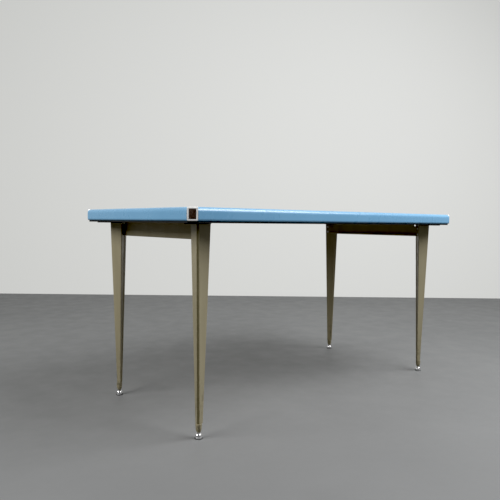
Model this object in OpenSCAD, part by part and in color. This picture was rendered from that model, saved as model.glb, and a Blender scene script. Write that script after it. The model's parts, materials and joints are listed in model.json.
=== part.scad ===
// Steel-legged work table: a thick top with a rolled, painted metal edge and
// metal corner pieces, on four tapered folded-sheet legs with levelling glides.
// Millimetres. The origin is on the floor under the middle of the top,
// +X runs along the long side, +Y across, +Z up. "Front" is -Y, "left" is -X.

/* [Table] */
// Length of the top
top_l = 1500; // [1300:10:1800]
// Width of the top
top_w = 770; // [640:10:900]
// Height of the top above the floor
table_h = 760; // [700:5:800]

/* [Top] */
// Height of the painted edge band
band_h = 43; // [38:1:50]
// Radius of the roll along the band's upper edge
upper_roll = 15; // [12:0.5:15.5]
// Radius of the roll along the band's lower edge
lower_roll = 7; // [4:0.5:8]
// Width of the band's upper lip, from the outside of the band
upper_lip = 16; // [14:1:20]
// Width of the band's lower lip, from the outside of the band
lower_lip = 18; // [17:1:24]
// Thickness of the folded sheet steel
sheet_t = 1.5; // [1:0.1:2]
// Thickness of the linoleum on the board
lino_t = 2; // [1.5:0.5:3]
// How far the linoleum lies below the crest of the roll
lino_drop = 0.5; // [0.2:0.1:1]
// How far the board stands back inside the band
board_inset = 12; // [11:1:14]

/* [Corners] */
// Length cut off each side at a corner
corner_cut = 26; // [22:1:30]
// Depth of the corner piece behind its face
corner_depth = 7.5; // [7:0.5:9]
// Width of the buffer set in the corner piece
buffer_w = 22; // [18:1:26]
// Height of the buffer
buffer_h = 31; // [26:1:33]
// Depth of the pocket that the buffer sits in
pocket_depth = 4.5; // [4:0.5:5]
// How far the buffer stands proud of the corner piece
buffer_proud = 2; // [1:0.5:3]

/* [Underframe] */
// Thickness of the flat bars under the board
bar_t = 6; // [5:1:8]
// Width of the flat bars
bar_w = 50; // [40:1:60]
// How far the bars stand back from the outside of the band
bar_inset = 6; // [4:1:10]
// Side of the square plate at the head of a leg, between the bars
head_plate = 94; // [90:1:100]
// Thickness of the tongue under that plate
tongue_t = 3; // [2:0.5:4]
// Reach of the tongue from the leg's axis towards the corner of the top
tongue_l = 76; // [70:1:80]

/* [Legs] */
// Distance from each edge of the top to the axis of a leg
leg_inset = 100; // [96:1:110]
// Width of a leg's inner face at the top
leg_head_w = 69; // [62:1:72]
// Width of a leg's inner face at the foot
leg_foot_w = 27.5; // [26:0.5:30]
// Distance from the axis to the inner face at the top
leg_head_back = 22; // [20:0.5:23]
// Distance from the axis to the inner face at the foot
leg_foot_back = 8.6; // [8:0.1:9.2]
// Angle between each outer face and the diagonal of the leg
face_angle = 28; // [27:0.5:30]
// Width of the groove down the outer edge of a leg
groove_w = 5.5; // [4:0.5:7]
// Depth of that groove
groove_d = 5; // [4.5:0.25:5.5]
// Height at which the folded sheet of a leg begins
shell_z = 50; // [46:1:54]

/* [Aprons] */
// Height of an end apron below the underframe
apron_drop = 55; // [45:1:65]
// Distance from the end of the top to the outside of an apron
apron_inset = 113; // [112:0.5:116]
// Width of the flange along the bottom of an apron
apron_flange = 16; // [12:1:20]

/* [Feet] */
// Radius of the threaded stem
stem_r = 4; // [3:0.5:4]
// Radius of the domed cup
cup_r = 12; // [11:0.5:13]
// Radius of the pad under the cup
pad_r = 13.8; // [13:0.1:15]
// Height of the ferrule's lower end above the floor
ferrule_z = 21; // [20:0.5:24]

/* [Hidden] */
$fn = 48;
CORNERS = ["front_left", "front_right", "back_left", "back_right"];
LEG_PIECES = ["side_half", "end_half", "groove_strip", "back_strip", "head_plate", "ferrule"];
FOOT_PIECES = ["stem", "cup", "pad"];

BLUE = [0.43, 0.62, 0.78];
TAUPE = [0.55, 0.51, 0.42];
DARK = [0.13, 0.12, 0.11];
STEEL = [0.75, 0.75, 0.76];
BROWN = [0.24, 0.18, 0.14];
WOOD = [0.72, 0.58, 0.40];

half_l = top_l / 2;
half_w = top_w / 2;
band_z = table_h - band_h;          // underside of the band and the board
frame_z = band_z - bar_t;           // underside of the bars
leg_top = frame_z - tongue_t;       // underside of the tongues
lino_top = table_h - lino_drop;
board_top = lino_top - lino_t;
corner_back = corner_cut + corner_depth * sqrt(2);  // u + v on the back of a corner piece
cup_top = 17.2;                     // top of the domed cup
pad_t = 2.2;                        // height of the rim of the pad
fit = 0.08;                         // radial clearance of the stem in its bores
gap = 0.3;                          // clearance between faces that move past each other
lip_share = 0.3;                    // width of a leg's inner lip, as a share of the inner face
strip_t = 1;                        // thickness of the strip in the groove
screw_r = 2.2;                      // shank of a wood screw
screw_l = 26;                       // length of a wood screw
head_r = 4.6;                       // head of a wood screw
head_h = 2.6;                       // height of its countersunk head
pilot = 0.05;                       // clearance round a wood screw
bolt_r = 3;                         // shank of an apron bolt
bolt_hex = 5.8;                     // corner radius of its head and nut
bolt_y = 22;                        // distance of an apron bolt from the leg's diagonal
bolt_heights = [leg_top - 41, leg_top - 15];
bar_edge = bar_inset + bar_w;       // inner edge of a bar, from the edge of the top
plate_edge = bar_edge + head_plate; // inner edge of a leg's head plate
plate_screws = [[66, 128], [128, 66], [140, 140]];
tongue_screw = [66, 66];
long_screws = [for (i = [-2.5:1:2.5]) i * (top_l - 260) / 5];
short_screws = [for (i = [-1:1]) i * (top_w - 260) / 2];
web_reach = 0.6;                    // how far an apron's web passes into the recess of a leg
bar_screw_v = 36;                   // distance of the bar screws from the edge of the top
notch = [15, 7];                    // notch at the upper corners of an apron's web

// Signs of a corner: -1 or 1 along X and along Y
function sign_x(c) = search([c], CORNERS)[0] % 2 == 0 ? -1 : 1;
function sign_y(c) = search([c], CORNERS)[0] < 2 ? -1 : 1;

// Puts children at a leg's axis, with local +X pointing out along the corner's
// diagonal and local +Y turned towards the long side of the top.
module at_leg(c) {
    sx = sign_x(c);
    sy = sign_y(c);
    translate([sx * (half_l - leg_inset), sy * (half_w - leg_inset), 0])
        rotate(atan2(sy, sx)) flip_y(sx * sy) children();
}
// Turns children over in Y where s is -1
module flip_y(s) {
    if (s > 0) children();
    else mirror([0, 1, 0]) children();
}

// Puts children at a sharp corner of the top, with u and v growing inwards
module at_corner(c) {
    sx = sign_x(c);
    sy = sign_y(c);
    translate([sx * half_l, sy * half_w, 0])
        mirror([sx > 0 ? 1 : 0, 0, 0]) mirror([0, sy > 0 ? 1 : 0, 0]) children();
}

// ---------- top ----------

// Rectangle of the top inset by d, with its corners cut where u + v = cut
module top_outline(d, cut) {
    x = half_l - d;
    y = half_w - d;
    c = cut - 2 * d;
    polygon([[c - x, -y], [x - c, -y], [x, c - y], [x, y - c],
             [x - c, y], [c - x, y], [-x, y - c], [-x, c - y]]);
}

// Every wood screw of the underframe, as positions on the underside
module at_frame_screws() {
    for (c = CORNERS) at_corner(c) {
        translate([tongue_screw.x, tongue_screw.y, leg_top]) children();
        for (p = plate_screws) translate([p.x, p.y, frame_z]) children();
    }
    for (x = long_screws, s = [-1, 1])
        translate([x, s * (half_w - bar_screw_v), frame_z]) children();
    for (y = short_screws, s = [-1, 1])
        translate([s * (half_l - bar_screw_v), y, frame_z]) children();
}

// A countersunk wood screw, point up, its head flush with z = 0
module wood_screw(clear = 0) {
    rotate_extrude() polygon([[0, 0], [head_r + clear, 0], [screw_r + clear, head_h + clear],
                              [screw_r + clear, screw_l - 4 + clear], [0, screw_l + clear]]);
}

module top_board() {
    color(WOOD) difference() {
        union() {
            translate([0, 0, band_z + sheet_t]) linear_extrude(board_top - band_z - sheet_t)
                top_outline(board_inset, corner_back);
            translate([0, 0, band_z]) linear_extrude(sheet_t)
                top_outline(lower_lip, corner_back);
        }
        at_frame_screws() wood_screw(pilot);
        for (c = CORNERS) at_corner_screws(c) corner_screw(pilot);
    }
}

module linoleum() {
    color(BLUE) translate([0, 0, board_top]) linear_extrude(lino_t)
        top_outline(upper_lip, corner_back);
}

// Section of the edge band: x goes inwards from its face, y is the height
module band_section() {
    difference() {
        rolled(0, upper_roll, lower_roll);
        rolled(sheet_t, upper_roll, lower_roll);
        translate([upper_lip, lower_roll]) square([lower_lip, band_h]);
    }
    translate([upper_lip - sheet_t, board_top - band_z])
        square([sheet_t, band_h - board_top + band_z - sheet_t]);
}

// Outline with two rolled corners on its outer side, inset by d all round
module rolled(d, ru, rl) {
    translate([d, rl]) square([lower_lip - d, band_h - rl - ru]);
    translate([ru, band_h / 2]) square([lower_lip - ru, band_h / 2 - d]);
    translate([rl, d]) square([lower_lip - rl, band_h / 2]);
    translate([ru, band_h - ru]) circle(ru - d);
    translate([rl, rl]) circle(rl - d);
}

module edge_band(angle, out, length) {
    color(BLUE) rotate(angle) translate([-out, length / 2 - corner_cut, band_z])
        rotate([90, 0, 0]) linear_extrude(length - 2 * corner_cut) band_section();
}

// ---------- corners ----------

// Puts children on the face of a corner, with local +X running inwards
module at_face(c) {
    at_corner(c) translate([corner_cut / 2, corner_cut / 2, band_z]) rotate(45) children();
}

// Section of a corner piece: x goes inwards from its face, y is the height
module face_section() {
    r = 4;
    translate([r, 0]) square([corner_cut, band_h]);
    translate([0, r]) square([r, band_h - 2 * r]);
    for (y = [r, band_h - r]) translate([r, y]) circle(r);
}

module corner_piece(c) {
    color(STEEL) difference() {
        intersection() {
            at_corner(c) translate([0, 0, band_z]) linear_extrude(band_h)
                polygon([[corner_cut, 0], [corner_cut, corner_back - corner_cut],
                         [corner_back - corner_cut, corner_cut], [0, corner_cut]]);
            at_face(c) rotate([90, 0, 0])
                translate([0, 0, -corner_cut]) linear_extrude(2 * corner_cut) face_section();
        }
        at_face(c) translate([-1, -buffer_w / 2, (band_h - buffer_h) / 2])
            cube([pocket_depth + 1, buffer_w, buffer_h]);
        at_corner_screws(c) corner_screw(pilot);
    }
}

// The two screws of a corner piece lie behind its buffer
module at_corner_screws(c) {
    at_face(c) for (z = [band_h / 2 - 8, band_h / 2 + 8])
        translate([pocket_depth, 0, z]) rotate([0, 90, 0]) children();
}
module corner_screw(clear = 0) {
    rotate_extrude() polygon([[0, 0], [3.6 + clear, 0], [1.8 + clear, 2 + clear],
                              [1.8 + clear, 22 + clear], [0, 24 + clear]]);
}

module corner_buffer(c) {
    r = 2.5;
    depth = pocket_depth + buffer_proud;
    color(BROWN) intersection() {
        at_face(c) translate([-buffer_proud, buffer_w / 2, (band_h - buffer_h) / 2])
            rotate([90, 0, 0]) linear_extrude(buffer_w) blunt(depth, buffer_h, r);
        at_face(c) translate([-buffer_proud, -buffer_w / 2, (band_h - buffer_h) / 2])
            linear_extrude(buffer_h) blunt(depth, buffer_w, r);
    }
}
// Rectangle with two round corners at x = 0
module blunt(depth, width, r) {
    translate([r, 0]) square([depth - r, width]);
    translate([0, r]) square([r, width - 2 * r]);
    for (y = [r, width - r]) translate([r, y]) circle(r);
}

// ---------- underframe ----------

module drilled() {
    difference() {
        children();
        at_frame_screws() wood_screw(pilot);
    }
}

module frame_bar_long(s) {
    color(DARK) drilled() translate([0, 0, frame_z]) linear_extrude(bar_t)
        intersection() {
            top_outline(bar_inset, corner_cut + bar_inset * sqrt(2));
            translate([-half_l, s > 0 ? half_w - bar_edge : -half_w]) square([top_l, bar_edge]);
        }
}

module frame_bar_short(s) {
    color(DARK) drilled()
        translate([s > 0 ? half_l - bar_edge : bar_inset - half_l, bar_edge - half_w, frame_z])
            cube([bar_w, top_w - 2 * bar_edge, bar_t]);
}

// ---------- legs ----------

// Share of the way up the folded sheet, and the leg's sizes at a height
function rise(z) = (z - shell_z) / (frame_z - shell_z);
function face_w(z) = leg_foot_w + (leg_head_w - leg_foot_w) * rise(z);
function back_x(z) = leg_foot_back + (leg_head_back - leg_foot_back) * rise(z);
function nose_x(z) = (face_w(z) - groove_w) / 2 / tan(face_angle) - back_x(z);

// One half of the folded sheet at height z: groove lip, outer face and inner lip
function half_section(z) =
    let (w = face_w(z) / 2, b = back_x(z), n = nose_x(z), g = groove_w / 2,
         lip = w - 2 * w * lip_share, t = sheet_t, slant = t / cos(face_angle),
         slope = tan(face_angle))
    [[n, g], [-b, w], [-b, lip], [t - b, lip], [t - b, g + (n + b - t) * slope - slant],
     [n - groove_d, g + groove_d * slope - slant], [n - groove_d, g]];

function reversed(list) = [for (i = [len(list) - 1:-1:0]) list[i]];

// Rectangle in the XY plane
function box_section(x0, x1, y0, y1) = [[x0, y0], [x1, y0], [x1, y1], [x0, y1]];

// Straight solid between two outlines of equal length, counter-clockwise from above
module loft(low, z0, high, z1) {
    n = len(low);
    polyhedron(
        points = concat([for (p = low) [p.x, p.y, z0]], [for (p = high) [p.x, p.y, z1]]),
        faces = concat([[for (i = [0:n - 1]) i]], [[for (i = [n - 1:-1:0]) i + n]],
                       [for (i = [0:n - 1]) [i, i + n, (i + 1) % n + n, (i + 1) % n]]));
}

// Cuts children off square at both ends of the folded sheet
module trimmed() {
    intersection() {
        children();
        translate([-leg_inset, -leg_inset, shell_z])
            cube([2 * leg_inset, 2 * leg_inset, leg_top - shell_z]);
    }
}

module leg_half(c, side) {
    z0 = shell_z - 2;
    z1 = frame_z + 2;
    at_leg(c) color(TAUPE) difference() {
        trimmed() flip_y(side) loft(half_section(z0), z0, half_section(z1), z1);
        if (side > 0) for (z = bolt_heights) translate([-back_x(z) - 2, bolt_y, z])
            rotate([0, 90, 0]) cylinder(r = bolt_r + 0.2, h = 6);
    }
}

module leg_groove_strip(c) {
    y = groove_w / 2 + sheet_t / 2;
    n0 = nose_x(shell_z) - groove_d;
    n1 = nose_x(leg_top) - groove_d;
    at_leg(c) color(DARK) loft(box_section(n0 - strip_t, n0, -y, y), shell_z,
                               box_section(n1 - strip_t, n1, -y, y), leg_top);
}

function strip_section(z) =
    let (y = face_w(z) * (0.5 - lip_share) + 1.5, x = sheet_t - back_x(z))
    box_section(x, x + sheet_t, -y, y);

module leg_back_strip(c) {
    at_leg(c) color(TAUPE) loft(strip_section(shell_z), shell_z, strip_section(leg_top), leg_top);
}

// Plate between the bars, with the tongue under it that the leg is welded to
module leg_head_plate(c) {
    color(DARK) drilled() {
        at_corner(c) translate([bar_edge, bar_edge, frame_z])
            cube([head_plate, head_plate, bar_t]);
        at_leg(c) translate([-leg_head_back, -leg_head_w / 2, leg_top])
            cube([leg_head_back + tongue_l, leg_head_w, tongue_t]);
    }
}

module leg_ferrule(c) {
    top_r = 11;
    spigot_r = 3.3;
    bore = stem_r + fit;
    at_leg(c) color(TAUPE) rotate_extrude() polygon([
        [bore, ferrule_z], [6.2, ferrule_z], [7.6, ferrule_z + 1.6], [9.4, ferrule_z + 9],
        [top_r - 0.4, shell_z - 6], [top_r, shell_z - 1], [top_r - 1, shell_z],
        [spigot_r, shell_z], [spigot_r, shell_z + 20], [0, shell_z + 20], [0, shell_z - 4],
        [bore, shell_z - 4]]);
}

// ---------- end aprons ----------

module apron(c_front, c_back, s) {
    long = top_w - 2 * (2 * leg_inset + leg_head_back * sqrt(2) - apron_inset) + 2 * web_reach;
    inner = top_w - 2 * plate_edge - 2;
    low = frame_z - apron_drop;
    color(TAUPE) {
        mirror([s > 0 ? 1 : 0, 0, 0]) translate([apron_inset - half_l, 0, 0]) {
            translate([0, -long / 2, low]) cube([sheet_t, long, apron_drop - notch.y]);
            translate([0, notch.x - long / 2, low])
                cube([sheet_t, long - 2 * notch.x, apron_drop]);
            translate([0, -inner / 2, low]) cube([sheet_t, inner, band_z - low]);
            translate([0, -inner / 2, band_z - sheet_t]) cube([24, inner, sheet_t]);
            translate([0, -long / 2, low]) cube([apron_flange, long, sheet_t]);
            translate([apron_flange - sheet_t, -long / 2, low]) cube([sheet_t, long, 7]);
        }
        for (c = [c_front, c_back]) apron_tab(c);
    }
}

// Tab bent from the end of an apron, flat against the inner face of a leg
module apron_tab(c) {
    z0 = bolt_heights[0] - 10;
    z1 = bolt_heights[1] + 10;
    difference() {
        at_leg(c) loft(tab_section(z0), z0, tab_section(z1), z1);
        at_leg(c) for (z = bolt_heights) translate([-back_x(z) - 4, bolt_y, z])
            rotate([0, 90, 0]) cylinder(r = bolt_r + 0.2, h = 6);
    }
}
function tab_section(z) = box_section(-back_x(z) - sheet_t, -back_x(z) - 0.05, -3.2, bolt_y + 9);

module at_apron_bolts() {
    for (c = CORNERS) at_leg(c) for (z = bolt_heights)
        translate([-back_x(z), bolt_y, z]) rotate([0, 90, 0]) children();
}

module apron_bolts() {
    color(STEEL) at_apron_bolts() {
        translate([0, 0, -sheet_t - 4.1]) cylinder(r = bolt_hex, h = 4, $fn = 6);
        translate([0, 0, -sheet_t - 0.1]) cylinder(r = bolt_r, h = 11);
    }
}

module apron_nuts() {
    color(STEEL) at_apron_bolts() translate([0, 0, sheet_t + 0.1]) difference() {
        cylinder(r = bolt_hex, h = 5, $fn = 6);
        translate([0, 0, -1]) cylinder(r = bolt_r + pilot, h = 7);
    }
}

// ---------- levelling feet ----------

// Threaded stem with a hexagon for the spanner, and a head held in the cup
module foot_stem(c) {
    at_leg(c) color(STEEL) {
        translate([0, 0, pad_t + 1.2]) cylinder(r = 5.2, h = 12);
        translate([0, 0, pad_t + 5]) cylinder(r = stem_r, h = shell_z - 5 - pad_t - 5);
        translate([0, 0, cup_top + gap]) cylinder(r = 6.3, h = ferrule_z - cup_top - 2 * gap, $fn = 6);
    }
}

// Bell-shaped outline of the cup, drawn from its top to its foot
function bell(r, z) = [for (a = [0:10:90]) [r - 7 + 7 * sin(a), 5 + (z - 5) * cos(a)]];

module foot_cup(c) {
    t = 1.2;
    bore = stem_r + fit;
    inside = [for (p = reversed(bell(cup_r - t, cup_top - t))) if (p.x > bore) p];
    at_leg(c) color(STEEL) rotate_extrude()
        polygon(concat([[bore, cup_top]], bell(cup_r, cup_top), [[cup_r, pad_t], [cup_r - t, pad_t]],
                       inside, [[bore, cup_top - t]]));
}

module foot_pad(c) {
    at_leg(c) color(DARK) rotate_extrude() polygon([
        [0, 0], [pad_r - 0.6, 0], [pad_r, 0.6], [pad_r, pad_t - 0.4], [pad_r - 0.4, pad_t],
        [cup_r - 1.4, pad_t], [cup_r - 1.4, pad_t + 0.9], [0, pad_t + 0.9]]);
}

// ---------- assembly ----------

top_board();
linoleum();
edge_band(90, half_w, top_l);  // edge_band_front
edge_band(-90, half_w, top_l);  // edge_band_back
edge_band(0, half_l, top_w);  // edge_band_left
edge_band(180, half_l, top_w);  // edge_band_right
color(STEEL) for (c = CORNERS) at_corner_screws(c) corner_screw();  // corner_screws
frame_bar_long(-1);  // frame_bar_front
frame_bar_long(1);  // frame_bar_back
frame_bar_short(-1);  // frame_bar_left
frame_bar_short(1);  // frame_bar_right
color(STEEL) at_frame_screws() wood_screw();  // frame_screws
apron("front_left", "back_left", -1);  // apron_left
apron("front_right", "back_right", 1);  // apron_right
apron_bolts();
apron_nuts();
for (c = CORNERS) {
    leg = str("leg_", c, "_");
    foot = str("foot_", c, "_");
    corner_piece(c);
    corner_buffer(c);
    leg_half(c, 1);
    leg_half(c, -1);
    leg_groove_strip(c);
    leg_back_strip(c);
    leg_head_plate(c);
    leg_ferrule(c);
    foot_stem(c);
    foot_cup(c);
    foot_pad(c);
}
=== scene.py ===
"""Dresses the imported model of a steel-legged work table: rolled blue edge, metal corner
pieces with rubber buffers, folded tapered legs, levelling glides. Metres throughout."""

import json
import math
import random

import bmesh
import bpy
from mathutils import Matrix, Vector, noise


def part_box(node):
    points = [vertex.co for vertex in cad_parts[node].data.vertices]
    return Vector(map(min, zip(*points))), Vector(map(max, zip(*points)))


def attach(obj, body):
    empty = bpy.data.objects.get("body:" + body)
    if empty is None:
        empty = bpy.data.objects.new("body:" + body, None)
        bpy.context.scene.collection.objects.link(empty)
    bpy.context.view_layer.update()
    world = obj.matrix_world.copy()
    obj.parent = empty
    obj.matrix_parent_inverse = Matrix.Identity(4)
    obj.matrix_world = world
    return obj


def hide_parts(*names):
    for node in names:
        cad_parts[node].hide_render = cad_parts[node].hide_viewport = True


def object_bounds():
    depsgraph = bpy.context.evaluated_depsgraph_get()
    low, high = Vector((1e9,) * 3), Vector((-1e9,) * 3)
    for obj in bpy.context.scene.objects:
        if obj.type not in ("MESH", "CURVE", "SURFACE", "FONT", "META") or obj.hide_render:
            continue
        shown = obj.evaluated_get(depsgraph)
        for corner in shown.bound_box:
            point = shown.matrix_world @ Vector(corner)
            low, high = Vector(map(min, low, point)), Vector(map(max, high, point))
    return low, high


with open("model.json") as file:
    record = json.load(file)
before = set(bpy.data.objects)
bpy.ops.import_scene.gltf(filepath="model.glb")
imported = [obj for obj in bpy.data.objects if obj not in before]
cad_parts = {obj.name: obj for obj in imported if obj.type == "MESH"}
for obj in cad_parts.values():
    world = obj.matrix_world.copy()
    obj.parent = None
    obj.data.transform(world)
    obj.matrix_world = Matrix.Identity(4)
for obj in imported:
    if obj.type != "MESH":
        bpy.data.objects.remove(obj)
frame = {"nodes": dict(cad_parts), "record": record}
cad_low, cad_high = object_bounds()

# ---------- sizes, as in the CAD model ----------

MM = 0.001
UP = Vector((0, 0, 1))
HALF_L = cad_high.x
HALF_W = cad_high.y
TABLE_H = cad_high.z
band_low, band_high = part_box("edge_band_front")
BAND_Z = band_low.z
BAND_H = TABLE_H - BAND_Z
LOWER_LIP = band_high.y - band_low.y
CORNER_CUT = HALF_L - band_high.x
BOARD_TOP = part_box("top_board")[1].z
FRAME_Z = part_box("frame_bar_front")[0].z
plate_low, plate_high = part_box("leg_front_left_head_plate")
LEG_TOP = plate_low.z
PLATE_EDGE = HALF_L + plate_high.x
UPPER_ROLL = 15 * MM
LOWER_ROLL = 7 * MM
UPPER_LIP = 16 * MM
SHEET = 1.5 * MM

LEG_INSET = 100 * MM
SHELL_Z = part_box("leg_front_left_side_half")[0].z
HEAD_W, FOOT_W = 69 * MM, 27.5 * MM
HEAD_BACK, FOOT_BACK = 22 * MM, 8.6 * MM
FACE_ANGLE = math.radians(28)
GROOVE_W = 5.5 * MM
GROOVE_D = 5 * MM
LIP_SHARE = 0.3

CORNERS = {"front_left": (-1, -1), "front_right": (1, -1), "back_left": (-1, 1), "back_right": (1, 1)}
ROOT = "table"


# ---------- camera, light and floor ----------

FLOOR_HALF = 9
BACKDROP_AWAY = 2.75
BACKDROP_H = 6


def make_camera():
    """The camera stands off the front left corner, level with the underside of the top."""
    heading, tilt, roll = math.radians(49.67), math.radians(3.02), math.radians(0.58)
    level = math.cos(tilt)
    forward = Vector((math.cos(heading) * level, math.sin(heading) * level, -math.sin(tilt)))
    right = Vector((math.sin(heading), -math.cos(heading), 0))
    up = right.cross(forward)
    x = right * math.cos(roll) + up * math.sin(roll)
    y = up * math.cos(roll) - right * math.sin(roll)
    data = bpy.data.cameras.new("camera")
    data.sensor_width = 36
    data.lens = 38.08
    data.clip_start = 0.05
    camera = bpy.data.objects.new("camera", data)
    bpy.context.scene.collection.objects.link(camera)
    matrix = Matrix((x, y, -forward)).transposed().to_4x4()
    matrix.translation = Vector((-1.634, -1.697, 0.7155))
    camera.matrix_world = matrix
    bpy.context.scene.camera = camera


def softbox(name, place, target, width, height, power, colour=(1, 1, 1)):
    """A rectangular area light at place that faces target."""
    data = bpy.data.lights.new(name, "AREA")
    data.shape = "RECTANGLE"
    data.size, data.size_y = width, height
    data.energy = power
    data.color = colour
    lamp = bpy.data.objects.new(name, data)
    bpy.context.scene.collection.objects.link(lamp)
    lamp.location = place
    lamp.rotation_mode = "QUATERNION"
    lamp.rotation_quaternion = (Vector(target) - Vector(place)).to_track_quat("-Z", "Y")


def make_studio():
    """Two high softboxes, front right and left, before a bright backdrop on a plain grey floor."""
    softbox("right_softbox", (1.1, -1.7, 2.8), (0.1, -0.2, 0.5), 2.4, 2.0, 160)
    softbox("left_softbox", (-3.0, 0.3, 2.3), (-0.2, 0, 0.4), 1.8, 1.8, 94, (1, 0.99, 0.97))
    make_world()
    make_stage()
    set_contrast()


def make_world():
    """Dim, even, nearly white light from all round."""
    world = bpy.data.worlds.new("studio")
    bpy.context.scene.world = world
    world.use_nodes = True
    sky = world.node_tree.nodes["Background"]
    sky.inputs["Color"].default_value = (0.80, 0.81, 0.82, 1)
    sky.inputs["Strength"].default_value = 0.22


def make_stage():
    """The floor, and a backdrop square to the camera's heading, behind the table."""
    reach = FLOOR_HALF
    floor = [(-reach, -reach, 0), (reach, -reach, 0), (reach, reach, 0), (-reach, reach, 0)]
    plain_stage("floor", floor, floor_material())
    out = Vector((0.647, 0.762, 0))
    side = Vector((-out.y, out.x, 0)) * FLOOR_HALF
    foot, head = out * BACKDROP_AWAY, out * BACKDROP_AWAY + UP * BACKDROP_H
    plain_stage("backdrop", [foot - side, foot + side, head + side, head - side], backdrop_material())


def plain_stage(name, corners, material):
    """One flat sheet of the studio."""
    mesh = bpy.data.meshes.new(name)
    mesh.from_pydata([tuple(c) for c in corners], [], [(0, 1, 2, 3)])
    mesh.materials.append(material)
    sheet = bpy.data.objects.new(name, mesh)
    bpy.context.scene.collection.objects.link(sheet)


def set_contrast():
    """The Standard view transform, with the darkest tones drawn down to black."""
    view = bpy.context.scene.view_settings
    view.view_transform = "Standard"
    view.use_curve_mapping = True
    view.curve_mapping.black_level = (0.022, 0.022, 0.022)
    view.curve_mapping.update()


# ---------- material kit ----------


def opaque(colour):
    """A colour or a grey as four values. A socket stays as it is."""
    if isinstance(colour, tuple):
        return (*colour, 1)
    if isinstance(colour, float):
        return (colour, colour, colour, 1)
    return colour


class Nodes:
    """A Principled material and short calls that add nodes to it."""

    def __init__(self, name, **constants):
        """constants are fixed values of the shader, by socket name with _ for a space."""
        self.material = bpy.data.materials.new(name)
        self.material.use_nodes = True
        self.tree = self.material.node_tree
        self.shader = self.tree.nodes["Principled BSDF"]
        for socket, value in constants.items():
            self.shader.inputs[socket.replace("_", " ")].default_value = value
        self.place = self.tree.nodes.new("ShaderNodeTexCoord").outputs["Object"]

    def add(self, kind, inputs=None, **settings):
        """One node. Its inputs are values, or sockets to link."""
        node = self.tree.nodes.new("ShaderNode" + kind)
        for key, value in settings.items():
            setattr(node, key, value)
        for key, value in (inputs or {}).items():
            if isinstance(value, bpy.types.NodeSocket):
                self.tree.links.new(value, node.inputs[key])
            else:
                node.inputs[key].default_value = value
        return node

    def stretched(self, scale):
        """Object coordinates, stretched by a factor along each axis."""
        return self.add("Mapping", {"Vector": self.place, "Scale": scale}).outputs["Vector"]

    def noise(self, scale, detail, roughness=0.55, distortion=0.0, vector=None):
        """Noise from 0 to 1, with scale blotches to the metre."""
        inputs = {"Vector": vector or self.place, "Scale": scale, "Detail": detail}
        inputs.update({"Roughness": roughness, "Distortion": distortion})
        return self.add("TexNoise", inputs).outputs["Fac"]

    def ramp(self, factor, stops):
        """stops are (position, colour) or (position, grey)."""
        node = self.add("ValToRGB", {"Fac": factor})
        points = node.color_ramp.elements
        while len(points) < len(stops):
            points.new(0.5)
        for point, (position, colour) in zip(points, stops):
            point.position = position
            point.color = opaque(colour)
        return node.outputs["Color"]

    def patches(self, scale, detail, low, high):
        """Soft patches that fade between two colours or two greys."""
        return self.ramp(self.noise(scale, detail), [(0.3, low), (0.7, high)])

    def math(self, operation, a, b):
        """a and b are numbers or sockets."""
        return self.add("Math", {0: a, 1: b}, operation=operation).outputs[0]

    def mix(self, factor, a, b):
        """Colour a where factor is 0 and colour b where it is 1."""
        inputs = {"Factor": factor, 6: opaque(a), 7: opaque(b)}
        return self.add("Mix", inputs, data_type="RGBA").outputs[2]

    def bump(self, height, distance, strength, normal=None):
        """A relief as deep as distance, on top of an earlier one if normal is given."""
        inputs = {"Height": height, "Distance": distance, "Strength": strength}
        if normal is not None:
            inputs["Normal"] = normal
        return self.add("Bump", inputs).outputs["Normal"]

    def wear(self):
        """1 on folds and edges, 0 on flats, from the mesh's own attribute."""
        return self.add("Attribute", attribute_name="wear").outputs["Fac"]

    def height_share(self, low, high):
        """0 at height low and below, 1 at height high and above."""
        z = self.add("SeparateXYZ", {"Vector": self.place}).outputs["Z"]
        node = self.add("MapRange", {"Value": z, "From Min": low, "From Max": high})
        return node.outputs["Result"]

    def finish(self, colour, roughness, normal=None):
        """Links the results to the shader and hands back the material."""
        sockets = {"Base Color": colour, "Roughness": roughness, "Normal": normal}
        for socket, value in sockets.items():
            if value is not None:
                self.tree.links.new(value, self.shader.inputs[socket])
        return self.material


# ---------- materials ----------


def floor_material():
    """Plain grey painted floor, very slightly uneven."""
    n = Nodes("floor_paint")
    colour = n.patches(1.3, 3, (0.146, 0.149, 0.151), (0.160, 0.163, 0.165))
    return n.finish(colour, n.patches(9, 3, 0.5, 0.62))


def backdrop_material():
    """Pale wall with an even glow of its own."""
    n = Nodes("backdrop_paint", Roughness=1.0)
    n.shader.inputs["Base Color"].default_value = (0.3, 0.3, 0.3, 1)
    n.shader.inputs["Emission Color"].default_value = (0.80, 0.81, 0.78, 1)
    n.shader.inputs["Emission Strength"].default_value = 0.54
    return n.material


def blue_enamel():
    """Stoved blue enamel on the rolled band: orange peel, dulled patches, small chips on the rolls."""
    n = Nodes("blue_enamel")
    tint = n.patches(5, 3, (0.140, 0.305, 0.475), (0.158, 0.330, 0.505))
    grime = n.ramp(n.noise(60, 6, 0.7), [(0.50, 0.0), (0.80, 0.06)])
    tint = n.mix(grime, tint, (0.12, 0.26, 0.40))
    chips = n.ramp(n.noise(170, 5, 0.6), [(0.74, 0.0), (0.76, 1.0)])
    chips = n.math("MULTIPLY", chips, n.wear())
    colour = n.mix(chips, tint, (0.30, 0.36, 0.42))
    peel = n.bump(n.noise(520, 2), 0.00003, 0.5)
    normal = n.bump(chips, 0.0002, 0.6, peel)
    return n.finish(colour, n.patches(25, 5, 0.24, 0.36), normal)


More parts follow.
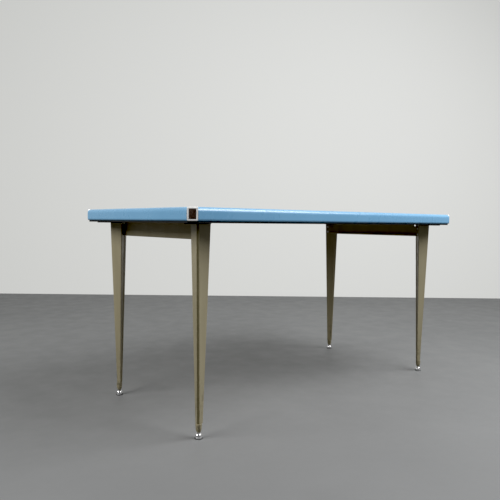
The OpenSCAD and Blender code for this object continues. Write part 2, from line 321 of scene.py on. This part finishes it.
def linoleum():
    """Blue linoleum, marbled along the table, with faint rubbed patches."""
    n = Nodes("linoleum", Specular_IOR_Level=0.4)
    grain = n.noise(14, 8, 0.65, 1.2, n.stretched((1.0, 3.2, 1.0)))
    tones = [(0.30, (0.11, 0.25, 0.40)), (0.50, (0.145, 0.31, 0.48)), (0.70, (0.19, 0.38, 0.55))]
    rubbed = n.ramp(n.noise(3, 4), [(0.4, 0.0), (0.8, 0.35)])
    colour = n.mix(rubbed, n.ramp(grain, tones), (0.20, 0.37, 0.52))
    normal = n.bump(n.noise(700, 3), 0.00004, 0.4)
    return n.finish(colour, n.patches(30, 5, 0.38, 0.52), normal)


def leg_paint():
    """Satin enamel on folded steel: faint runs down the leg, rubbed folds, scuffed feet."""
    n = Nodes("leg_paint")
    light, dark = (0.268, 0.240, 0.162), (0.232, 0.206, 0.136)
    scuffed_to, clean_from = 0.03, 0.22
    runs = n.noise(22, 4, 0.55, 0.3, n.stretched((1.0, 1.0, 0.12)))
    colour = n.ramp(runs, [(0.3, dark), (0.7, light)])
    rubbed = n.ramp(n.noise(120, 6, 0.65), [(0.52, 0.0), (0.62, 1.0)])
    rubbed = n.math("MULTIPLY", rubbed, n.math("MULTIPLY", n.wear(), 0.55))
    colour = n.mix(rubbed, colour, tuple(1.35 * c for c in light))
    lowness = n.math("SUBTRACT", 1.0, n.height_share(scuffed_to, clean_from))
    scuffs = n.ramp(n.noise(85, 6, 0.7, 0.4, n.stretched((1.0, 1.0, 0.5))), [(0.52, 0.0), (0.60, 0.8)])
    colour = n.mix(n.math("MULTIPLY", scuffs, lowness), colour, tuple(0.45 * c for c in dark))
    normal = n.bump(n.noise(480, 2), 0.00003, 0.5, n.bump(n.noise(9, 2), 0.0006, 0.25))
    return n.finish(colour, n.patches(35, 5, 0.36, 0.52), normal)


def frame_paint():
    """Matt black primer on rolled steel bar, rusting very slightly. Its near-black, darker than primer, is
    also painted shade: the shadow line under the band.
    """
    n = Nodes("frame_paint")
    # Painted shade: tones darker than real primer, so the bars read as the shadow line beneath the blue band.
    tones = [(0.35, (0.006, 0.006, 0.007)), (0.66, (0.012, 0.011, 0.010)), (0.78, (0.03, 0.02, 0.012))]
    colour = n.ramp(n.noise(45, 6, 0.7), tones)
    return n.finish(colour, n.patches(60, 4, 0.55, 0.75), n.bump(n.noise(300, 4), 0.0001, 0.4))


def polished_metal():
    """Pale metal of the corner pieces, gone satin, with hairline scratches and a cloudy bloom. Part of its
    near-white colour shows as plain diffuse colour: painted reflection that keeps it bright.
    """
    # Painted reflection: metallic held at 0.6, so the near-white base colour also shows as diffuse colour and
    # the piece stays bright whatever it faces.
    n = Nodes("polished_metal", Metallic=0.6)
    colour = n.ramp(n.noise(90, 5, 0.6), [(0.35, (0.88, 0.88, 0.87)), (0.7, (0.96, 0.96, 0.96))])
    hairs = n.noise(260, 3, 0.5, 0.0, n.stretched((1.0, 1.0, 14.0)))
    roughness = n.ramp(n.noise(70, 5), [(0.3, 0.42), (0.75, 0.55)])
    return n.finish(colour, roughness, n.bump(hairs, 0.00002, 0.5))


def buffer_rubber():
    """Aged brown rubber with dark cracks and paler bloom. Its darkest browns are also painted reflection: the
    dark room mirrored in the middle of the corner.
    """
    n = Nodes("buffer_rubber", Specular_IOR_Level=0.35)
    mottle = n.noise(330, 6, 0.7, 0.6)
    # Painted reflection: the near-black browns stand partly for the dark surroundings reflected at the
    # corner's middle, and partly for the rubber's own colour.
    tones = [(0.32, (0.014, 0.010, 0.009)), (0.52, (0.040, 0.024, 0.018)), (0.72, (0.125, 0.085, 0.065))]
    return n.finish(n.ramp(mottle, tones), n.patches(200, 4, 0.6, 0.85), n.bump(mottle, 0.0006, 0.6))


def chrome():
    """Bright chrome of the glides, slightly dulled in patches."""
    n = Nodes("glide_chrome", Metallic=1.0)
    colour = n.patches(240, 5, (0.80, 0.80, 0.81), (0.92, 0.92, 0.93))
    roughness = n.ramp(n.noise(160, 5, 0.6), [(0.3, 0.07), (0.8, 0.20)])
    return n.finish(colour, roughness, n.bump(n.noise(420, 3), 0.00002, 0.4))


def bright_steel(name, tone):
    """Turned or plated steel of stems, screws, bolts and nuts."""
    n = Nodes(name, Metallic=1.0)
    colour = n.ramp(n.noise(300, 5, 0.6), [(0.3, 0.7 * tone), (0.7, tone)])
    rings = n.noise(500, 2, 0.5, 0.0, n.stretched((0.2, 0.2, 4.0)))
    return n.finish(colour, n.patches(200, 4, 0.26, 0.42), n.bump(rings, 0.00003, 0.5))


def pad_plastic():
    """Dark moulded plastic of the pads, scuffed grey."""
    n = Nodes("pad_plastic")
    colour = n.ramp(n.noise(350, 5, 0.7), [(0.4, (0.020, 0.020, 0.021)), (0.75, (0.075, 0.073, 0.070))])
    return n.finish(colour, n.patches(200, 3, 0.5, 0.7), n.bump(n.noise(600, 4), 0.00008, 0.5))


def blockboard():
    """Birch face of the board, its grain running along the table."""
    n = Nodes("blockboard")
    grain = n.noise(34, 8, 0.6, 0.5, n.stretched((0.06, 1.0, 1.0)))
    fibre = n.noise(420, 4, 0.6, 0.0, n.stretched((0.04, 1.0, 1.0)))
    tones = [(0.30, (0.27, 0.165, 0.085)), (0.52, (0.42, 0.28, 0.155)), (0.72, (0.53, 0.38, 0.23))]
    streaks = n.ramp(fibre, [(0.55, 0.0), (0.75, 0.35)])
    colour = n.mix(streaks, n.ramp(grain, tones), (0.20, 0.12, 0.06))
    return n.finish(colour, n.ramp(grain, [(0.3, 0.62), (0.7, 0.75)]), n.bump(fibre, 0.00015, 0.5))


def groove_paint():
    """The same enamel in the bottom of the groove, darkened as painted shade of the deep recess."""
    n = Nodes("groove_paint")
    # Painted shade: darker than the leg paint, standing for the shadow in the groove.
    colour = n.ramp(n.noise(90, 5, 0.6), [(0.3, (0.110, 0.096, 0.050)), (0.7, (0.160, 0.140, 0.078))])
    return n.finish(colour, n.patches(120, 3, 0.6, 0.8), n.bump(n.noise(300, 4), 0.0001, 0.4))


# ---------- shape kit ----------


def new_piece(name, shell, node, body=ROOT, crease=38):
    """A closed mesh that stands for a CAD node and moves with its body."""
    mesh = bpy.data.meshes.new(name)
    mesh.from_pydata([tuple(v) for v in shell.verts], [], shell.faces)
    values = mesh.attributes.new("wear", "FLOAT", "POINT")
    values.data.foreach_set("value", shell.wear)
    shape = bmesh.new()
    shape.from_mesh(mesh)
    bmesh.ops.recalc_face_normals(shape, faces=shape.faces)
    for face in shape.faces:
        face.smooth = True
    shape.to_mesh(mesh)
    shape.free()
    mesh.set_sharp_from_angle(angle=math.radians(crease))
    mesh.materials.append(MATERIALS[node_slot(node)])
    piece = bpy.data.objects.new(name, mesh)
    bpy.context.scene.collection.objects.link(piece)
    weighted = piece.modifiers.new("flat_faces", "WEIGHTED_NORMAL")
    weighted.keep_sharp = True
    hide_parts(node)
    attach(piece, body)


def node_slot(node):
    """The record's material slot of a CAD node."""
    for part in frame["record"]["subparts"]:
        if part["node"] == node:
            return part["material_slot"]
    raise KeyError(node)


class Shell:
    """Collects closed solids into one mesh, with the wear of each point."""

    def __init__(self):
        self.verts, self.faces, self.wear = [], [], []

    def loft(self, rings, wear=None):
        """Joins rings of equal length into a solid with capped ends."""
        base, count = len(self.verts), len(rings[0])
        for ring in rings:
            self.verts += ring
            self.wear += wear or [0.0] * count
        for i in range(len(rings) - 1):
            a, b = base + i * count, base + (i + 1) * count
            for j in range(count):
                k = (j + 1) % count
                self.faces.append((a + j, a + k, b + k, b + j))
        top = base + (len(rings) - 1) * count
        self.faces.append(tuple(range(base + count - 1, base - 1, -1)))
        self.faces.append(tuple(range(top, top + count)))

    def lathe(self, profile, centre, steps=64, axis=UP, start=Vector((1, 0, 0))):
        """Turns (radius, height) points round an axis. A radius of 0 at an end closes it."""
        side = axis.cross(start)
        base = len(self.verts)
        rows = []
        for radius, height in profile:
            if radius == 0:
                rows.append([len(self.verts)])
                self.verts.append(centre + axis * height)
                continue
            rows.append(list(range(len(self.verts), len(self.verts) + steps)))
            for i in range(steps):
                a = 2 * math.pi * i / steps
                spoke = start * math.cos(a) + side * math.sin(a)
                self.verts.append(centre + axis * height + spoke * radius)
        self.wear += [0.0] * (len(self.verts) - base)
        for low, high in zip(rows, rows[1:] + rows[:1]):
            if len(low) == 1 and len(high) == 1:
                continue
            for i in range(steps):
                k = (i + 1) % steps
                if len(low) == 1:
                    self.faces.append((low[0], high[k], high[i]))
                elif len(high) == 1:
                    self.faces.append((low[i], low[k], high[0]))
                else:
                    self.faces.append((low[i], low[k], high[k], high[i]))


def hexagon(centre, first, second, radius):
    """Six points round a centre. first and second are unit vectors at a right angle."""
    turns = [math.radians(60 * i) for i in range(6)]
    return [centre + (first * math.cos(a) + second * math.sin(a)) * radius for a in turns]


# Largest share of the flat between two arcs that a support point takes
FLAT_SHARE = 0.4


def rounded(corners, support=0.0, steps=5):
    """A closed outline with its corners rounded. corners are (x, y, radius), and support is
    how far beyond each arc a point is set on the flat, if there is room.
    Returns the points and, for each, how much it lies on a fold (1) or a flat (0)."""
    count = len(corners)
    places = [Vector((x, y)) for x, y, _ in corners]
    edges = [places[(i + 1) % count] - places[i] for i in range(count)]
    reaches = []
    for i, (_, _, radius) in enumerate(corners):
        half = (-edges[i - 1]).angle(edges[i]) / 2
        reaches.append(radius / math.tan(half))
    points, wear = [], []
    for i, (_, _, radius) in enumerate(corners):
        here = places[i]
        if radius == 0:
            points.append(here)
            wear.append(0.5)
            continue
        before, after = -edges[i - 1].normalized(), edges[i].normalized()
        room_before = edges[i - 1].length - reaches[i] - reaches[i - 1]
        room_after = edges[i].length - reaches[i] - reaches[(i + 1) % count]
        half = before.angle(after) / 2
        middle = here + (before + after).normalized() * (radius / math.sin(half))
        first, final = here + before * reaches[i], here + after * reaches[i]
        start = first - middle
        sweep = start.angle_signed(final - middle)
        if support:
            points.append(first + before * min(support, room_before * FLAT_SHARE))
            wear.append(0.0)
        for k in range(steps + 1):
            points.append(middle + Matrix.Rotation(-sweep * k / steps, 2) @ start)
            wear.append(1.0)
        if support:
            points.append(final + after * min(support, room_after * FLAT_SHARE))
            wear.append(0.0)
    return points, wear


# ---------- edge bands ----------

RING_SPACING = 30 * MM
# Depth of the unevenness, and how far in from the face a point still takes it
HAND_FINISH, FACE_DEPTH = 0.06 * MM, 4 * MM


def band_outline():
    """Section of the rolled band: x inwards from its face, y above its underside."""
    top = BAND_H
    board = BOARD_TOP - BAND_Z
    return rounded([
        (0, 0, LOWER_ROLL), (LOWER_LIP, 0, 0.3 * MM), (LOWER_LIP, SHEET, 0.3 * MM),
        (SHEET, SHEET, LOWER_ROLL - SHEET), (SHEET, top - SHEET, UPPER_ROLL - 2 * SHEET),
        (UPPER_LIP - SHEET, top - SHEET, 0), (UPPER_LIP - SHEET, board, 0.3 * MM),
        (UPPER_LIP, board, 0.3 * MM), (UPPER_LIP, top, 0.6 * MM), (0, top, UPPER_ROLL),
    ], support=4 * MM, steps=8)


def edge_band(side, start, along, inward, length):
    """One band, swept along its side, with the faint unevenness of hand-finished sheet."""
    outline, wear = band_outline()
    shell = Shell()
    rings = []
    count = int(length / RING_SPACING)
    for i in range(count + 1):
        place = start + along * (length * i / count)
        ring = []
        for p in outline:
            depth = p.x
            if p.x < FACE_DEPTH:
                dip = 0.5 + 0.5 * noise.noise(Vector((place.x * 5, place.y * 5, p.y * 12)))
                depth += HAND_FINISH * dip
            ring.append(place + inward * depth + UP * (BAND_Z + p.y))
        rings.append(ring)
    shell.loft(rings, wear)
    node = "edge_band_" + side
    new_piece(node + "_rolled", shell, node)


def make_bands():
    """The four bands, each from one corner piece to the next."""
    x, y = HALF_L - CORNER_CUT, HALF_W - CORNER_CUT
    edge_band("front", Vector((-x, -HALF_W, 0)), Vector((1, 0, 0)), Vector((0, 1, 0)), 2 * x)
    edge_band("back", Vector((x, HALF_W, 0)), Vector((-1, 0, 0)), Vector((0, -1, 0)), 2 * x)
    edge_band("left", Vector((-HALF_L, y, 0)), Vector((0, -1, 0)), Vector((1, 0, 0)), 2 * y)
    edge_band("right", Vector((HALF_L, -y, 0)), Vector((0, 1, 0)), Vector((-1, 0, 0)), 2 * y)


# ---------- corner pieces and buffers ----------

CORNER_DEPTH = 7.5 * MM
FACE_HALF = CORNER_CUT / math.sqrt(2)
BUFFER_HALF_W, BUFFER_HALF_H = 11 * MM, 15.5 * MM


class Face:
    """The face cut across a corner."""

    def __init__(self, corner):
        sx, sy = CORNERS[corner]
        self.out = Vector((sx, sy, 0)).normalized()
        self.side = Vector((-sy, sx, 0)).normalized()
        x, y = HALF_L - CORNER_CUT / 2, HALF_W - CORNER_CUT / 2
        self.centre = Vector((sx * x, sy * y, BAND_Z + BAND_H / 2))

    def ring(self, half_w, half_h, radius, depth):
        """A rounded rectangle parallel to the face, at a depth inwards from it."""
        corners = [(-half_w, -half_h, radius), (half_w, -half_h, radius)]
        corners += [(half_w, half_h, radius), (-half_w, half_h, radius)]
        outline, _ = rounded(corners, steps=6)
        middle = self.centre - self.out * depth
        return [middle + self.side * p.x + UP * p.y for p in outline]


def corner_piece(corner):
    """Casting with a rounded rim round the pocket for the buffer."""
    face = Face(corner)
    half_h = BAND_H / 2
    back_half = FACE_HALF - CORNER_DEPTH
    rings = [face.ring(back_half, half_h - 0.5 * MM, 1 * MM, CORNER_DEPTH)]
    rings.append(face.ring(back_half + 0.5 * MM, half_h, 1.4 * MM, CORNER_DEPTH - 0.6 * MM))
    edge, side_share = 3.2 * MM, 0.45
    for k in range(7):
        a = math.radians(15 * k)
        depth, drop = edge * (1 - math.sin(a)), edge * (1 - math.cos(a))
        rings.append(face.ring(FACE_HALF - depth - drop * side_share, half_h - drop, 2.2 * MM, depth))
    rim = 1.1 * MM
    for k in range(6):
        a = math.radians(18 * k)
        grow, depth = rim * (1 - math.sin(a)), rim * (1 - math.cos(a))
        rings.append(face.ring(BUFFER_HALF_W + grow, BUFFER_HALF_H + grow, 2 * MM, depth))
    pocket = 4.5 * MM
    rings.append(face.ring(BUFFER_HALF_W, BUFFER_HALF_H, 2 * MM, pocket))
    shell = Shell()
    shell.loft(rings)
    node = "corner_piece_" + corner
    new_piece(node + "_cast", shell, node, crease=50)


def corner_buffer(corner):
    """Rubber block pressed into the corner piece, worn round at its edges and slightly crowned."""
    face = Face(corner)
    slack = 0.2 * MM
    half_w, half_h = BUFFER_HALF_W - slack, BUFFER_HALF_H - slack
    edge, edge_depth = 1.5 * MM, 0.4 * MM
    rings = [face.ring(half_w - 0.4 * MM, half_h - 0.4 * MM, 1.6 * MM, 4.45 * MM)]
    rings.append(face.ring(half_w, half_h, 1.8 * MM, 4.0 * MM))
    for k in range(7):
        a = math.radians(15 * k)
        inset = edge * (1 - math.cos(a))
        rings.append(face.ring(half_w - inset, half_h - inset, 1.8 * MM, edge_depth - edge * math.sin(a)))
    crown = 0.75 * MM
    for share in (0.6, 0.3, 0.08):
        depth = edge_depth - edge - crown * (1 - share)
        rings.append(face.ring(half_w * share, half_h * share, 0.8 * MM * share, depth))
    shell = Shell()
    shell.loft(rings)
    node = "corner_buffer_" + corner
    new_piece(node + "_block", shell, node, crease=60)


# ---------- legs ----------


class Leg:
    """A leg's own frame: x out along the corner's diagonal, y towards the long side."""

    def __init__(self, corner):
        sx, sy = CORNERS[corner]
        self.axis = Vector((sx * (HALF_L - LEG_INSET), sy * (HALF_W - LEG_INSET), 0))
        self.out = Vector((sx, sy, 0)).normalized()
        self.side = Vector((-sx, sy, 0)).normalized()

    def at(self, x, y, z):
        """A point of the leg's frame, in the table's."""
        return self.axis + self.out * x + self.side * y + UP * z


def rise(z):
    """0 at the foot of the folded sheet, 1 at the underside of the underframe."""
    return (z - SHELL_Z) / (FRAME_Z - SHELL_Z)


def face_w(z):
    """Width of a leg's inner face."""
    return FOOT_W + (HEAD_W - FOOT_W) * rise(z)


def back_x(z):
    """Distance of a leg's inner face from the leg's axis."""
    return FOOT_BACK + (HEAD_BACK - FOOT_BACK) * rise(z)


def nose_x(z):
    """Distance of a leg's outer edge from the leg's axis."""
    return (face_w(z) - GROOVE_W) / 2 / math.tan(FACE_ANGLE) - back_x(z)


def half_outline(z):
    """One folded half at height z: groove lip, outer face, inner lip, with bent corners."""
    half_w, back, nose, groove = face_w(z) / 2, back_x(z), nose_x(z), GROOVE_W / 2
    lip = half_w - 2 * half_w * LIP_SHARE
    slope = math.tan(FACE_ANGLE)
    slant = SHEET / math.cos(FACE_ANGLE)
    end = 0.3 * MM
    return rounded([
        (nose, groove, 1.4 * MM), (-back, half_w, 2.2 * MM), (-back, lip, end), (SHEET - back, lip, end),
        (SHEET - back, groove + (nose + back - SHEET) * slope - slant, 0.7 * MM),
        (nose - GROOVE_D, groove + GROOVE_D * slope - slant, end), (nose - GROOVE_D, groove, end),
    ], support=1.6 * MM, steps=6)


def leg_half(corner, half):
    """half is 1 for the half that faces the long side, -1 for the one that faces the end."""
    leg = Leg(corner)
    shell = Shell()
    rings = []
    levels = 34
    for i in range(levels + 1):
        z = SHELL_Z + (LEG_TOP - SHELL_Z) * i / levels
        outline, wear = half_outline(z)
        rings.append([leg.at(p.x, half * p.y, z) for p in outline])
    shell.loft(rings, wear)
    node = "leg_{}_{}_half".format(corner, "side" if half > 0 else "end")
    new_piece(node + "_folded", shell, node)


def leg_ferrule(corner):
    """Turned ferrule: a nearly straight collar that curves in to the stem, and a plug up the leg."""
    node = "leg_{}_ferrule".format(corner)
    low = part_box(node)[0].z
    bore, bore_top = 4.1 * MM, SHELL_Z - 4 * MM
    plug, plug_top = 3.3 * MM, SHELL_Z + 20 * MM
    profile = [(bore, low), (5.6 * MM, low), (6.3 * MM, low + 0.3 * MM)]
    for k in range(1, 9):
        share = k / 8
        radius = (6.4 + 4.1 * math.sin(share * math.pi / 2)) * MM
        profile.append((radius, low + (0.5 + 17 * share ** 1.25) * MM))
    profile += [(10.9 * MM, SHELL_Z - 2 * MM), (11 * MM, SHELL_Z - 1.6 * MM)]
    profile += [(10.7 * MM, SHELL_Z - 0.9 * MM), (9.8 * MM, SHELL_Z - 0.6 * MM)]
    profile += [(plug, SHELL_Z - 0.5 * MM), (plug, plug_top), (0, plug_top), (0, bore_top), (bore, bore_top)]
    shell = Shell()
    shell.lathe(profile, Leg(corner).axis)
    new_piece(node + "_turned", shell, node, crease=30)


# ---------- levelling feet ----------

PITCH = 1.25 * MM
THREAD_DEPTH = 0.65 * MM
STEM_R = 4 * MM
NECK_LOW, HEX_LOW, HEX_HIGH = 15.4 * MM, 17.5 * MM, 20.7 * MM


def thread_rings(leg, top):
    """Rings of the thread from the hexagon up, bevelled at the very top."""
    steps, end_share = 32, 0.75
    rows = int((top - HEX_HIGH) / (PITCH / 6))
    rings = []
    for i in range(rows + 1):
        z = HEX_HIGH + (top - HEX_HIGH) * i / rows
        taper = min(1.0, (top - z) / (1.2 * MM) + end_share)
        ring = []
        for k in range(steps):
            turn = (z / PITCH - k / steps) % 1.0
            depth = THREAD_DEPTH * (1 - abs(2 * turn - 1))
            radius = (STEM_R - 0.02 * MM - depth) * taper
            a = 2 * math.pi * k / steps
            ring.append(leg.at(radius * math.cos(a), radius * math.sin(a), z))
        rings.append(ring)
    return rings


def foot_stem(corner):
    """Threaded stem with its spanner hexagon and the head that turns in the cup."""
    leg = Leg(corner)
    node = "foot_{}_stem".format(corner)
    low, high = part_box(node)
    head, neck = 5.2 * MM, 3.6 * MM
    bevel = 0.5 * MM
    shell = Shell()
    profile = [(0, low.z), (head - bevel, low.z), (head, low.z + bevel)]
    profile += [(head, NECK_LOW - bevel), (head - bevel, NECK_LOW), (0, NECK_LOW)]
    shell.lathe(profile, leg.axis, 40)
    shell.lathe([(0, NECK_LOW), (neck, NECK_LOW), (neck, HEX_LOW), (0, HEX_LOW)], leg.axis, 40)
    levels = ((HEX_LOW, 5.8), (HEX_LOW + bevel, 6.3), (HEX_HIGH - bevel, 6.3), (HEX_HIGH, 5.8))
    shell.loft([hexagon(leg.at(0, 0, z), leg.out, leg.side, radius * MM) for z, radius in levels])
    shell.loft(thread_rings(leg, high.z))
    new_piece(node + "_threaded", shell, node, "stem_" + corner, crease=25)


def bell(radius, top):
    """Profile of the glide's cup: a rounded shoulder down to a straight skirt."""
    shoulder, skirt = 7 * MM, 5 * MM
    points = []
    for k in range(19):
        a = math.radians(5 * k)
        points.append((radius - shoulder + shoulder * math.sin(a), skirt + (top - skirt) * math.cos(a)))
    return points


def foot_cup(corner):
    """Spun cup of the glide, bell-shaped, with a small bevel round its foot."""
    node = "foot_{}_cup".format(corner)
    low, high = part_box(node)
    radius = (high.x - low.x) / 2
    top = high.z
    wall, hole = 1.1 * MM, 4.1 * MM
    outer = bell(radius, top)
    inner = [p for p in bell(radius - wall, top - wall) if p[0] > hole]
    foot = [(radius, low.z + 0.3 * MM), (radius - 0.25 * MM, low.z), (radius - wall, low.z)]
    shell = Shell()
    shell.lathe([(hole, top)] + outer + foot + inner[::-1] + [(hole, top - wall)], Leg(corner).axis, 72)
    new_piece(node + "_spun", shell, node, "glide_" + corner, crease=40)


def foot_pad(corner):
    """Moulded pad under the cup, with a small bead round its rim."""
    node = "foot_{}_pad".format(corner)
    low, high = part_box(node)
    radius = (high.x - low.x) / 2
    profile = [(0, 0), (radius - 2.2 * MM, 0), (radius - 1.6 * MM, 0.05 * MM)]
    for k in range(9):
        a = math.radians(22.5 * k - 90)
        profile.append((radius - (1 - math.cos(a)) * MM, (1.1 + 1.05 * math.sin(a)) * MM))
    hub = 10.6 * MM
    profile += [(hub, 2.15 * MM), (hub, high.z), (0, high.z)]
    shell = Shell()
    shell.lathe(profile, Leg(corner).axis, 64)
    new_piece(node + "_moulded", shell, node, "glide_" + corner, crease=35)


# ---------- end aprons ----------

APRON_INSET = 113 * MM
WEB_REACH = 0.6 * MM
HALF_APRON = HALF_W - (2 * LEG_INSET + HEAD_BACK * math.sqrt(2) - APRON_INSET) + WEB_REACH
FLANGE, FLANGE_LIP, TOP_FLANGE = 16 * MM, 7 * MM, 24 * MM
NOTCH_W, NOTCH_H = 15 * MM, 7 * MM
BOLT_Y = 22 * MM
BOLT_HEIGHTS = (LEG_TOP - 41 * MM, LEG_TOP - 15 * MM)


def apron_sections(frame_y, top):
    """Sections of an apron with their half lengths and numbers of steps: the channel and its
    lip, the web between the notches, and the stretch with its flange between the head plates."""
    notch = frame_y - NOTCH_H
    end, bend = 0.3 * MM, 2.6 * MM
    channel = rounded([
        (0, 0, bend), (FLANGE, 0, bend), (FLANGE, FLANGE_LIP, end), (FLANGE - SHEET, FLANGE_LIP, end),
        (FLANGE - SHEET, SHEET, bend - SHEET), (SHEET, SHEET, bend - SHEET),
        (SHEET, notch, 0.2 * MM), (0, notch, 0.2 * MM),
    ], 1.6 * MM, 6)
    web = rounded([(0, notch, 0), (SHEET, notch, 0), (SHEET, frame_y, 0.2 * MM), (0, frame_y, 0.2 * MM)])
    upper = rounded([
        (0, frame_y, 0), (SHEET, frame_y, 0), (SHEET, top - SHEET, 0.8 * MM),
        (TOP_FLANGE, top - SHEET, end), (TOP_FLANGE, top, end), (0, top, 2.3 * MM),
    ])
    between_plates = HALF_W - PLATE_EDGE - 1 * MM
    return (channel, HALF_APRON, 12), (web, HALF_APRON - NOTCH_W, 8), (upper, between_plates, 8)


def apron(side, sign):
    """Folded channel between two legs, with its bent tabs and the flange under the board."""
    node = "apron_" + side
    low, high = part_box(node)
    outer = low.x if sign < 0 else high.x
    shell = Shell()
    for (outline, wear), reach, count in apron_sections(FRAME_Z - low.z, high.z - low.z):
        rings = []
        for i in range(count + 1):
            y = -reach + 2 * reach * i / count
            rings.append([Vector((outer - sign * p.x, y, low.z + p.y)) for p in outline])
        shell.loft(rings, wear)
    for corner, (sx, _) in CORNERS.items():
        if sx == sign:
            apron_tab(shell, Leg(corner))
    new_piece(node + "_folded", shell, node)


def apron_tab(shell, leg):
    """Tab bent from the end of an apron, flat against the inner face of the leg."""
    left, right = -3.2 * MM, BOLT_Y + 9 * MM
    low, high = BOLT_HEIGHTS[0] - 10 * MM, BOLT_HEIGHTS[1] + 10 * MM
    end, round_end = 0.3 * MM, 5 * MM
    rings = []
    for depth, bevel in ((0.05 * MM, 0.3 * MM), (0.35 * MM, 0), (1.2 * MM, 0), (1.5 * MM, 0.3 * MM)):
        corners = [(left + bevel, low + bevel, end), (right - bevel, low + bevel, round_end)]
        corners += [(right - bevel, high - bevel, round_end), (left + bevel, high - bevel, end)]
        outline, _ = rounded(corners, steps=6)
        rings.append([leg.at(-back_x(p.y) - depth, p.x, p.y) for p in outline])
    shell.loft(rings)


def apron_bolts():
    """Hexagon bolts, their heads chamfered on both sides."""
    shank = [(0, 1.6 * MM), (3 * MM, 1.6 * MM), (3 * MM, -9 * MM), (2.4 * MM, -9.8 * MM), (0, -9.8 * MM)]
    shell = Shell()
    for leg in map(Leg, CORNERS):
        inward = -leg.out
        side = inward.cross(UP)
        for z in BOLT_HEIGHTS:
            centre = leg.at(-back_x(z), BOLT_Y, z)
            levels = ((1.6, 5.4), (2.0, 5.8), (5.0, 5.8), (5.6, 5.0))
            shell.loft([hexagon(centre + inward * depth * MM, UP, side, r * MM) for depth, r in levels])
            shell.lathe(shank, centre, 28, inward, UP)
    new_piece("apron_bolts_hexagon", shell, "apron_bolts", crease=28)


# ---------- screws ----------

HEAD_SCREWS = ((66, 66, LEG_TOP), (66, 128, FRAME_Z), (128, 66, FRAME_Z), (140, 140, FRAME_Z))
BAR_SCREW_IN = 36 * MM
BAR_SCREW_END = 130 * MM


def frame_screw_places():
    """Where the wood screws come through the head plates, tongues and bars, on their lower faces."""
    places = []
    for sx, sy in CORNERS.values():
        for x, y, z in HEAD_SCREWS:
            places.append((sx * (HALF_L - x * MM), sy * (HALF_W - y * MM), z))
    for i in range(6):
        x = (i / 2.5 - 1) * (HALF_L - BAR_SCREW_END)
        places += [(x, sy * (HALF_W - BAR_SCREW_IN), FRAME_Z) for sy in (-1, 1)]
    for i in range(3):
        y = (i - 1) * (HALF_W - BAR_SCREW_END)
        places += [(sx * (HALF_L - BAR_SCREW_IN), y, FRAME_Z) for sx in (-1, 1)]
    return places


def frame_screws():
    """Countersunk wood screws with a slot, each turned to its own angle."""
    turns = random.Random(7)
    slot_half, slot_deep = 0.6 * MM, 0.9 * MM
    head_r, head_h, shank_r = 4.5 * MM, 2.6 * MM, 2.2 * MM
    narrow = head_r - slot_deep * (head_r - shank_r) / head_h
    profile = [(0, slot_deep), (narrow, slot_deep), (shank_r, head_h), (shank_r, 22 * MM), (0, 26 * MM)]
    shell = Shell()
    for place in frame_screw_places():
        centre = Vector(place)
        shell.lathe(profile, centre, 24)
        angle = turns.uniform(0, math.pi)
        for flip in (0, math.pi):
            turn = Matrix.Rotation(angle + flip, 3, "Z")
            rings = []
            for up, r in ((0.05 * MM, head_r), (slot_deep, narrow)):
                first = math.asin(slot_half / r)
                angles = [first + (math.pi - 2 * first) * k / 14 for k in range(15)]
                rings.append([centre + turn @ Vector((r * math.cos(a), r * math.sin(a), up)) for a in angles])
            shell.loft(rings)
    new_piece("frame_screws_slotted", shell, "frame_screws", crease=35)


# ---------- assembly ----------

MATERIALS = {
    "blue_enamel": blue_enamel(),
    "linoleum": linoleum(),
    "blockboard": blockboard(),
    "polished_metal": polished_metal(),
    "buffer_rubber": buffer_rubber(),
    "frame_paint": frame_paint(),
    "leg_paint": leg_paint(),
    "groove_paint": groove_paint(),
    "zinc_steel": bright_steel("zinc_steel", 0.62),
    "glide_chrome": chrome(),
    "stem_steel": bright_steel("stem_steel", 0.50),
    "pad_nylon": pad_plastic(),
}


def dress_cad_nodes():
    """Every carried-over CAD node takes the material of its slot."""
    for node, piece in frame["nodes"].items():
        piece.data.materials.clear()
        piece.data.materials.append(MATERIALS[node_slot(node)])


make_camera()
make_studio()
dress_cad_nodes()
make_bands()
for corner_name in CORNERS:
    corner_piece(corner_name)
    corner_buffer(corner_name)
    leg_half(corner_name, 1)
    leg_half(corner_name, -1)
    leg_ferrule(corner_name)
    foot_stem(corner_name)
    foot_cup(corner_name)
    foot_pad(corner_name)
apron("left", -1)
apron("right", 1)
apron_bolts()
frame_screws()
